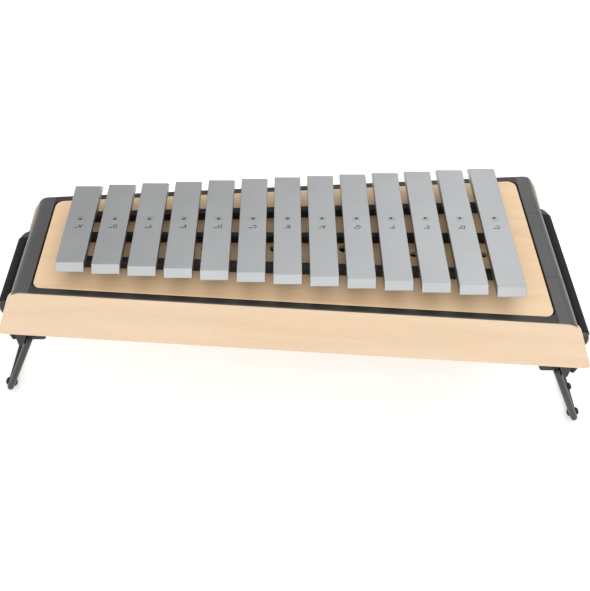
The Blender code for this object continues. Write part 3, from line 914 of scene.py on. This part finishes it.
@dataclass
class Handles:
    """Two bent tubes with foam sleeves."""

    shop: Workshop
    bend_mm: float = 10.0
    tube_radius_mm: float = 6.0
    grip_radius_mm: float = 7.0
    grip_edge_mm: float = 0.5
    grip_play_mm: float = 0.1
    grip_edge_steps: int = 5

    def build(self) -> None:
        """Makes both handles."""
        for label, end in ENDS:
            self.make_tube(label, end)
            self.make_grip(label)

    def make_tube(self, label: str, end: int) -> None:
        """Makes a handle's tube.

        Args:
            label: The end's name.
            end: -1 for the treble end, 1 for the bass end.
        """
        node = f"handle_tube_{label}"
        low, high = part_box(node)
        radius = self.tube_radius_mm * MM
        near = min(abs(low.x), abs(high.x))
        far = max(abs(low.x), abs(high.x))
        half = (high.y - low.y) / 2 - radius
        flat = bent_path(half, near, far - radius, self.bend_mm * MM)
        height = (low.z + high.z) / 2
        path = [(end * x, y, height) for x, y in flat]
        mesh = rod_mesh(node, path, Vector((0, 0, 1)), radius, domed=False)
        self.shop.settle(f"{node}_finished", mesh, Slot.TUBE, self.shop.body_of[node], (node,))

    def make_grip(self, label: str) -> None:
        """Makes a handle's sleeve.

        Args:
            label: The end's name.
        """
        node = f"handle_grip_{label}"
        low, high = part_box(node)
        half = (high.y - low.y) / 2
        bore = (self.tube_radius_mm + self.grip_play_mm) * MM
        outer = self.grip_radius_mm * MM
        edge = self.grip_edge_mm * MM
        profile = sleeve_profile(bore, outer, half, edge, self.grip_edge_steps)
        mesh = turned_mesh(node, profile, (low + high) / 2, "Y")
        self.shop.settle(f"{node}_finished", mesh, Slot.GRIP, self.shop.body_of[node], (node,))


@dataclass
class Legs:
    """Two bent-rod legs with rubber rings, and the cone feet beside them."""

    shop: Workshop
    rod_radius_mm: float = 4.0
    bend_mm: float = 8.0
    ring_radius_mm: float = 7.0
    ring_edge_mm: float = 1.6
    ring_play_mm: float = 0.05
    ring_edge_steps: int = 6
    cone_taper: float = 2.0
    cone_edge_share: float = 1 / 3
    cone_edge_steps: int = 5

    def build(self) -> None:
        """Makes both legs, their rings and the cone feet."""
        pivots = {joint["child"]: Vector(joint["pos_m"]) for joint in self.shop.frame["joints"]}
        for label, _ in ENDS:
            self.make_frame(label, pivots[f"leg_{label}"])
        for node in self.shop.body_of:
            if node.startswith("foot_ring"):
                self.make_ring(node)
            if node.startswith("cone_foot"):
                self.make_cone(node)

    def make_frame(self, label: str, pivot: Vector) -> None:
        """Makes a leg's rod, from its hinge down to the crossbar that its rings sit on.

        Args:
            label: The end's name.
            pivot: A point on the hinge axis.
        """
        node = f"leg_frame_{label}"
        low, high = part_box(node)
        ring_low, ring_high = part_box(f"foot_ring_{label}_1")
        crossbar = (ring_low + ring_high) / 2
        radius = self.rod_radius_mm * MM
        half = (high.y - low.y) / 2 - radius
        down = Vector((crossbar.x - pivot.x, 0, crossbar.z - pivot.z))
        along = down.normalized()
        flat = bent_path(half, 0.0, down.length, self.bend_mm * MM)
        start = Vector((pivot.x, 0, pivot.z))
        path = [start + along * reach + Vector((0, y, 0)) for reach, y in flat]
        mesh = rod_mesh(node, path, along.cross(Vector((0, 1, 0))), radius, domed=True)
        self.shop.settle(f"{node}_finished", mesh, Slot.LEG, self.shop.body_of[node], (node,))

    def make_ring(self, node: str) -> None:
        """Makes a rubber ring with rounded shoulders.

        Args:
            node: The ring's CAD node.
        """
        low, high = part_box(node)
        half = (high.y - low.y) / 2
        bore = (self.rod_radius_mm + self.ring_play_mm) * MM
        outer = self.ring_radius_mm * MM
        edge = self.ring_edge_mm * MM
        profile = sleeve_profile(bore, outer, half, edge, self.ring_edge_steps)
        mesh = turned_mesh(node, profile, (low + high) / 2, "Y")
        self.shop.settle(f"{node}_finished", mesh, Slot.FOOT, self.shop.body_of[node], (node,))

    def make_cone(self, node: str) -> None:
        """Makes a tapered foot with a rounded tip.

        Args:
            node: The foot's CAD node.
        """
        low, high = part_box(node)
        wide = (high.x - low.x) / 2
        tip = wide / self.cone_taper
        lip = rounded_corner(tip, 0.0, tip * self.cone_edge_share, self.cone_edge_steps)
        tall = high.z - low.z
        profile = [(0, 0), *lip, (wide, tall), (0, tall)]
        place = Vector(((low.x + high.x) / 2, (low.y + high.y) / 2, low.z))
        mesh = turned_mesh(node, profile, place, "Z")
        self.shop.settle(f"{node}_finished", mesh, Slot.FOOT, self.shop.body_of[node], (node,))


@dataclass
class BottomScrews:
    """Rows of screws that hold the bottom board, made by a Geometry Nodes tree."""

    shop: Workshop
    count: int = 6
    head_radius_mm: float = 3.4
    head_height_mm: float = 1.1
    inset_mm: float = 7.0
    end_mm: float = 60.0
    head_sides: int = 32
    sharp_deg: float = 30.0

    def build(self) -> None:
        """Lays one row along each long edge of the bottom board."""
        low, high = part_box("bottom_board")
        rows = []
        for side in (-1, 1):
            narrow = self.edge_y(low.x + self.end_mm * MM) * side
            wide = self.edge_y(high.x - self.end_mm * MM) * side
            start = Vector((low.x + self.end_mm * MM, narrow, low.z))
            stop = Vector((high.x - self.end_mm * MM, wide, low.z))
            rows.append(self.row_mesh(start, stop))
        shape = bmesh.new()
        for mesh in rows:
            shape.from_mesh(mesh)
            bpy.data.meshes.remove(mesh)
        mesh = smooth_mesh("bottom_screws", shape, self.sharp_deg)
        self.shop.settle("bottom_screws", mesh, Slot.STEEL, self.shop.body_of["bottom_board"])

    def edge_y(self, x: float) -> float:
        """Where the row runs at x: just inside the board's long edge.

        Args:
            x: A place along the board.

        Returns:
            The row's distance from the middle.
        """
        corners = [v.co for v in self.shop.frame["nodes"]["bottom_board"].data.vertices]
        low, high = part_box("bottom_board")
        at_low = max(c.y for c in corners if c.x < low.x + MM)
        at_high = max(c.y for c in corners if c.x > high.x - MM)
        share = (x - low.x) / (high.x - low.x)
        return at_low + (at_high - at_low) * share - self.inset_mm * MM

    def row_mesh(self, start: Vector, stop: Vector) -> bpy.types.Mesh:
        """Makes one row of screw heads.

        Args:
            start: The first screw's place on the board.
            stop: The last screw's place.

        Returns:
            The row's plain mesh.
        """
        tree = bpy.data.node_groups.new("screw_row", "GeometryNodeTree")
        sizes = {
            "Head Radius": self.head_radius_mm * MM,
            "Head Height": self.head_height_mm * MM,
        }
        identifiers = {}
        for label in sizes:
            socket = tree.interface.new_socket(label, in_out="INPUT", socket_type="NodeSocketFloat")
            identifiers[label] = socket.identifier
        tree.interface.new_socket("Geometry", in_out="OUTPUT", socket_type="NodeSocketGeometry")
        given = add_node(tree, "NodeGroupInput")
        line = add_node(
            tree,
            "GeometryNodeMeshLine",
            {"mode": "END_POINTS", "Count": self.count, "Start Location": start, "Offset": stop},
        )
        head = add_node(
            tree,
            "GeometryNodeMeshCylinder",
            {"Vertices": self.head_sides},
            {"Radius": given.outputs["Head Radius"], "Depth": given.outputs["Head Height"]},
        )
        row = add_node(
            tree,
            "GeometryNodeInstanceOnPoints",
            None,
            {"Points": line.outputs["Mesh"], "Instance": head.outputs["Mesh"]},
        )
        real = add_node(
            tree, "GeometryNodeRealizeInstances", None, {"Geometry": row.outputs["Instances"]}
        )
        dressed = add_node(
            tree,
            "GeometryNodeSetMaterial",
            {"Material": self.shop.materials[Slot.STEEL]},
            {"Geometry": real.outputs["Geometry"]},
        )
        add_node(tree, "NodeGroupOutput", None, {"Geometry": dressed.outputs["Geometry"]})
        carrier = bpy.data.objects.new("screw_row", bpy.data.meshes.new("screw_row"))
        bpy.context.collection.objects.link(carrier)
        modifier = carrier.modifiers.new("screws", "NODES")
        modifier.node_group = tree
        for label, value in sizes.items():
            modifier[identifiers[label]] = value
        mesh = evaluated_mesh(carrier, "screw_row")
        bpy.data.objects.remove(carrier)
        return mesh


@dataclass(frozen=True)
class Lamp:
    """A soft oblong lamp: its place in metres, its width and height, and its power in watts."""

    name: str
    place: Triple
    size: Point
    power: float

    def hang(self) -> None:
        """Adds the lamp, turned towards the instrument."""
        data = bpy.data.lights.new(self.name, "AREA")
        data.shape = "RECTANGLE"
        data.size, data.size_y = self.size
        data.energy = self.power
        lamp = bpy.data.objects.new(self.name, data)
        lamp.location = self.place
        lamp.rotation_euler = (-Vector(self.place)).to_track_quat("-Z", "Y").to_euler()
        bpy.context.collection.objects.link(lamp)


@dataclass
class Studio:
    """A pale floor, soft lamps and the camera at the photograph's angle."""

    camera_mm: Triple = (-7.1, -648.1, 820.8)
    pitch_deg: float = 47.81
    roll_deg: float = 0.165
    focal_px: float = 795.0
    image_px: float = 590.0
    centre_px: float = 282.7
    sensor_mm: float = 36.0
    floor_m: float = 8.0
    floor_colour: str = "#F4F4F4"
    floor_roughness: float = 0.9
    floor_glow: float = 0.4
    world_light: float = 0.62
    world_seen: float = 1.0
    lamps: tuple[Lamp, ...] = (
        Lamp("key", (0.1, -2.0, 1.9), (4.4, 2.2), 34.0),
        Lamp("top", (0.3, 0.5, 2.3), (2.4, 2.0), 12.0),
        Lamp("rear", (1.3, 2.1, 2.2), (2.0, 1.6), 8.0),
    )

    def build(self) -> None:
        """Sets the whole studio up."""
        self.make_camera()
        self.make_floor()
        self.make_world()
        for lamp in self.lamps:
            lamp.hang()
        bpy.context.scene.view_settings.view_transform = "Standard"

    def make_camera(self) -> None:
        """Places the camera."""
        data = bpy.data.cameras.new("camera")
        data.sensor_fit = "HORIZONTAL"
        data.sensor_width = self.sensor_mm
        data.lens = self.focal_px / self.image_px * self.sensor_mm
        data.shift_x = 0.5 - self.centre_px / self.image_px
        camera = bpy.data.objects.new("camera", data)
        tilt = Matrix.Rotation(math.radians(90 - self.pitch_deg), 4, "X")
        roll = Matrix.Rotation(math.radians(self.roll_deg), 4, "Z")
        place = Matrix.Translation(Vector(self.camera_mm) * MM)
        camera.matrix_world = place @ tilt @ roll
        bpy.context.collection.objects.link(camera)
        bpy.context.scene.camera = camera

    def make_floor(self) -> None:
        """Makes the floor, which looks white to the camera and keeps the shadow."""
        shape = bmesh.new()
        bmesh.ops.create_grid(shape, x_segments=1, y_segments=1, size=self.floor_m / 2)
        mesh = bpy.data.meshes.new("floor")
        shape.to_mesh(mesh)
        shape.free()
        material = bpy.data.materials.new("floor_paper")
        material.use_nodes = True
        tree = material.node_tree
        shader = tree.nodes["Principled BSDF"]
        shader.inputs["Base Color"].default_value = linear(self.floor_colour)
        shader.inputs["Roughness"].default_value = self.floor_roughness
        shader.inputs["Emission Color"].default_value = WHITE
        rays = add_node(tree, "ShaderNodeLightPath")
        seen = add_node(
            tree,
            "ShaderNodeMath",
            {"operation": "MAXIMUM"},
            {0: rays.outputs["Is Camera Ray"], 1: rays.outputs["Is Glossy Ray"]},
        )
        glow = add_node(
            tree,
            "ShaderNodeMath",
            {"operation": "MULTIPLY", 1: self.floor_glow},
            {0: seen.outputs[0]},
        )
        tree.links.new(glow.outputs[0], shader.inputs["Emission Strength"])
        mesh.materials.append(material)
        floor = bpy.data.objects.new("floor", mesh)
        bpy.context.collection.objects.link(floor)

    def make_world(self) -> None:
        """Makes the world: soft even light, and white where it is seen."""
        world = bpy.data.worlds.new("studio")
        world.use_nodes = True
        tree = world.node_tree
        back = tree.nodes["Background"]
        rays = add_node(tree, "ShaderNodeLightPath")
        strength = add_node(
            tree,
            "ShaderNodeMapRange",
            {"To Min": self.world_light, "To Max": self.world_seen},
            {"Value": rays.outputs["Is Camera Ray"]},
        )
        back.inputs["Color"].default_value = WHITE
        tree.links.new(strength.outputs[0], back.inputs["Strength"])
        bpy.context.scene.world = world


def dress_cad_nodes(shop: Workshop) -> None:
    """Gives every CAD node its finish, also the ones that stay in view.

    Args:
        shop: The workshop.
    """
    for node, piece in shop.frame["nodes"].items():
        piece.data.materials.clear()
        piece.data.materials.append(shop.materials[shop.slot_for(node)])


def main() -> None:
    """Builds the scene in order."""
    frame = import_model()
    shop = Workshop(frame)
    dress_cad_nodes(shop)
    for group in (ToneBars(shop), Casework(shop), Handles(shop), Legs(shop), BottomScrews(shop)):
        LOG.info("building %s", type(group).__name__)
        group.build()
    Studio().build()


if __name__ == "__main__":
    logging.basicConfig(level=logging.INFO, format="%(message)s")
    main()
